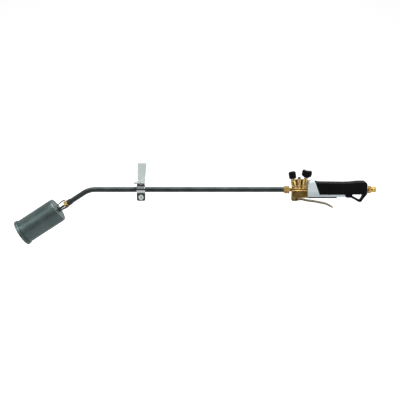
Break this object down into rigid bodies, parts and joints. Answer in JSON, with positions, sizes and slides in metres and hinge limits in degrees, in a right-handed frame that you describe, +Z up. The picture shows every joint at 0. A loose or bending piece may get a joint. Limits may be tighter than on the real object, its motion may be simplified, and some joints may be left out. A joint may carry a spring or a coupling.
{
  "type": "propane torch",
  "caption": "Long-necked propane roofing torch: bell burner on a bent neck, swivelling stand, brass valve block with knobs and squeeze lever, two-tone handle with hanging loop and hose inlet.",
  "frame": {"origin": "centre of the hand grip, on the axis of the straight neck tube", "axes": "+X along the neck towards the hose end, +Z up on the side of the valve knobs, +Y away from a viewer who sees the burner on the left"},
  "size_m": [0.8506, 0.0669, 0.1927],
  "materials": {
    "burner_steel": "satin dark grey-green heat-resistant coating",
    "dark_steel": "dark blued steel",
    "bright_steel": "bright plated steel",
    "zinc": "pale zinc-plated sheet",
    "brass": "aged golden brown brass",
    "bright_brass": "bright machined brass",
    "bronze": "brushed bronze-coloured sheet",
    "copper": "orange-copper ring",
    "black_plastic": "fine-textured black plastic",
    "pale_plastic": "smooth very pale blue-grey plastic",
    "rubber": "black seal rubber"
  },
  "bodies": {
    "torch": {"burner_bell": "burner_steel", "burner_rim": "burner_steel", "front_ferrule": "dark_steel", "lever_pivot_pin": "dark_steel", "pin_clip": "dark_steel", "neck_nipple": "dark_steel", "flame_holder": "dark_steel", "mixing_tube": "dark_steel", "jet_pipe": "dark_steel", "cage_leg_top": "dark_steel", "cage_leg_near": "dark_steel", "cage_leg_far": "dark_steel", "neck_tube": "dark_steel", "grip_screw_1": "dark_steel", "grip_screw_2": "dark_steel", "grip_screw_3": "dark_steel", "housing_screw": "dark_steel", "valve_spring": "bright_steel", "burner_nut": "brass", "union_nut": "brass", "valve_body": "brass", "pilot_bonnet": "brass", "main_bonnet": "brass", "spring_housing": "brass", "supply_pipe": "brass", "gas_jet": "bright_brass", "pilot_gland_nut": "bright_brass", "main_gland_nut": "bright_brass", "hose_connector": "bright_brass", "inlet_ring": "copper", "spring_cap": "black_plastic", "grip_near": "black_plastic", "grip_far": "black_plastic", "lever_stop_strip": "black_plastic", "housing_near": "pale_plastic", "housing_far": "pale_plastic", "pilot_seal": "rubber", "main_seal": "rubber", "valve_pin_seal": "rubber"},
    "lever": {"lever": "bronze"},
    "valve_pin": {"valve_pin": "bright_steel"},
    "pilot_stem": {"pilot_stem": "bright_steel"},
    "pilot_knob": {"pilot_knob": "black_plastic", "pilot_knob_cap": "black_plastic"},
    "main_stem": {"main_stem": "bright_steel"},
    "main_knob": {"main_knob": "black_plastic", "main_knob_cap": "bright_steel"},
    "stand": {"clamp_near": "bright_steel", "clamp_far": "bright_steel", "stand_leg": "zinc", "stand_rivet_near": "bright_steel", "stand_rivet_far": "bright_steel", "stand_bolt": "zinc", "stand_washer": "zinc", "stand_nut": "zinc"}
  },
  "joints": [
    {"name": "lever_pivot", "type": "hinge", "parent": "torch", "child": "lever", "pos_m": [-0.1027, 0, -0.0212], "axis": [0, -1, 0], "range_deg": [0, 7.5], "stiffness_Nm_per_rad": 2, "springref_deg": -14.32},
    {"name": "valve_pin_slide", "type": "slide", "parent": "torch", "child": "valve_pin", "axis": [0, 0, 1], "range_m": [0, 0.0009], "deforming": ["valve_spring"]},
    {"name": "pilot_lift", "type": "slide", "parent": "torch", "child": "pilot_stem", "axis": [-0.1736, 0, 0.9848], "range_m": [0, 0.0016]},
    {"name": "pilot_knob_turn", "type": "hinge", "parent": "pilot_stem", "child": "pilot_knob", "pos_m": [-0.1076, 0, 0.0043], "axis": [-0.1736, 0, 0.9848], "range_deg": [0, 540]},
    {"name": "main_lift", "type": "slide", "parent": "torch", "child": "main_stem", "axis": [0.1822, 0, 0.9833], "range_m": [0, 0.0016]},
    {"name": "main_knob_turn", "type": "hinge", "parent": "main_stem", "child": "main_knob", "pos_m": [-0.0854, 0, 0.0043], "axis": [0.1822, 0, 0.9833], "range_deg": [0, 540]},
    {"name": "stand_swivel", "type": "hinge", "parent": "torch", "child": "stand", "pos_m": [-0.4674, 0, 0], "axis": [1, 0, 0], "range_deg": [-180, 180]}
  ],
  "couplings": [
    {"joint": "valve_pin_slide", "follows": "lever_pivot", "m_per_rad": 0.0059},
    {"joint": "pilot_lift", "follows": "pilot_knob_turn", "m_per_rad": 0.00015915},
    {"joint": "main_lift", "follows": "main_knob_turn", "m_per_rad": 0.00015915}
  ]
}
